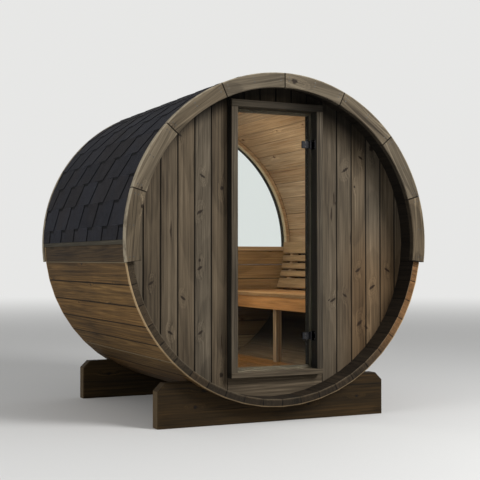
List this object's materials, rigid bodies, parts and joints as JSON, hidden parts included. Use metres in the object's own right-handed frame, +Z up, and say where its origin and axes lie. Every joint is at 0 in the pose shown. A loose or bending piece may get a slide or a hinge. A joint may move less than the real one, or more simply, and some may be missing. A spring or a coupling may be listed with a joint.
{
  "type": "barrel sauna",
  "caption": "Garden barrel sauna of coopered staves on cradles, shingled over the upper half, with a recessed board front, a glass door, a half-round rear window and a bench inside",
  "frame": {"origin": "on the ground at the middle of the sauna's length and width, below the barrel's axis", "axes": "+Z up, +Y along the barrel from the door end to the window end, +X to the right as seen by someone facing the door"},
  "size_m": [2.144, 1.95, 2.241],
  "materials": {
    "stave_wood": "weathered softwood outside, warm planed softwood inside",
    "wall_wood": "weathered grey-brown upright boards with V joints",
    "frame_wood": "grey weathered planed timber",
    "fascia_wood": "weathered timber with pale worn edges",
    "cradle_wood": "dark brown sawn timber",
    "inside_wood": "warm planed softwood, unpainted",
    "felt": "bitumen felt with mineral granules",
    "shingle": "charcoal bitumen shingle with mineral granules",
    "clear_glass": "clear toughened glass, polished edges",
    "hinge_steel": "dark satin steel"
  },
  "bodies": {
    "cabin": {"staves_12_to_1": "stave_wood", "staves_1_to_2": "stave_wood", "staves_2_to_3": "stave_wood", "staves_3_to_4": "stave_wood", "staves_4_to_5": "stave_wood", "staves_5_to_6": "stave_wood", "staves_6_to_7": "stave_wood", "staves_7_to_8": "stave_wood", "staves_8_to_9": "stave_wood", "staves_9_to_10": "stave_wood", "staves_10_to_11": "stave_wood", "staves_11_to_12": "stave_wood", "front_wall_left": "wall_wood", "front_wall_right": "wall_wood", "front_wall_over_door": "wall_wood", "board_under_door": "wall_wood", "door_jamb_left": "frame_wood", "door_jamb_right": "frame_wood", "door_head": "frame_wood", "door_sill": "frame_wood", "door_packing_strip": "frame_wood", "front_fascia_left": "fascia_wood", "front_fascia_right": "fascia_wood", "rear_fascia_left": "fascia_wood", "rear_fascia_right": "fascia_wood", "cradle_front": "cradle_wood", "cradle_rear": "cradle_wood", "rear_wall_boards": "inside_wood", "window_sill": "inside_wood", "window_beads": "inside_wood", "floor_boards": "inside_wood", "floor_bearers": "inside_wood", "bench_slats": "inside_wood", "bench_apron": "inside_wood", "bench_post": "inside_wood", "bench_bearers": "inside_wood", "backrest_boards": "inside_wood", "backrest_supports": "inside_wood", "roof_felt_left": "felt", "roof_felt_right": "felt", "shingle_tabs_left": "shingle", "shingle_tabs_right": "shingle", "ridge_cap": "shingle", "window_glass": "clear_glass", "hinge_plates": "hinge_steel"},
    "door_leaf": {"door_glass": "clear_glass", "hinge_clamps": "hinge_steel"}
  },
  "joints": [
    {"name": "door_hinge", "type": "hinge", "parent": "cabin", "child": "door_leaf", "pos_m": [0.297, -0.776, 1.165], "axis": [0, 0, 1], "range_deg": [0, 90]}
  ]
}
